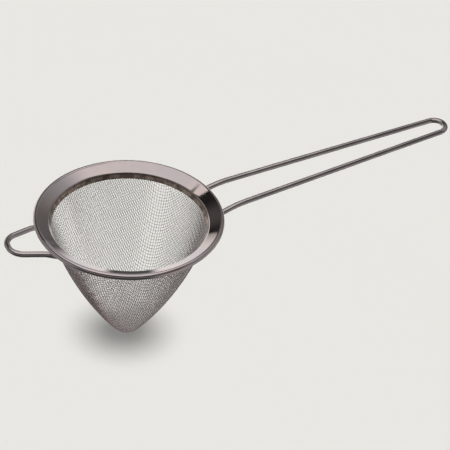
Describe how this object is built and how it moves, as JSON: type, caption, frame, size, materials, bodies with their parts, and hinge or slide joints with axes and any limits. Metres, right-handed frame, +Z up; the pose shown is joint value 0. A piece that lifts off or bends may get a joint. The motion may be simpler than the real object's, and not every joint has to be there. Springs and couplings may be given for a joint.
{
  "type": "tea strainer",
  "caption": "Conical fine-mesh tea strainer with a dished rolled-edge rim, a long wire handle and a wire rest loop that bridges the rim of a cup.",
  "frame": {"origin": "on the basket's axis, in the plane where the handle wire and the rest loop lie on a cup's rim", "axes": "+X along the handle, +Z up out of the basket's mouth, the rest loop towards -X"},
  "size_m": [0.237, 0.09, 0.0859],
  "materials": {
    "rim_polished": "mirror-polished stainless sheet with a thin dark rose-grey coating",
    "basket_wire": "plain-woven round wire, drawn and coated rose-grey",
    "clamp_satin": "satin sheet ring with spot welds, coated rose-grey",
    "handle_polished": "polished round wire, coated dark grey",
    "loop_polished": "polished round wire, coated dark grey"
  },
  "bodies": {
    "root": {"rim_flange": "rim_polished", "mesh_basket": "basket_wire", "mesh_clamp_ring": "clamp_satin", "handle_wire": "handle_polished", "rest_loop_wire": "loop_polished"}
  },
  "joints": []
}
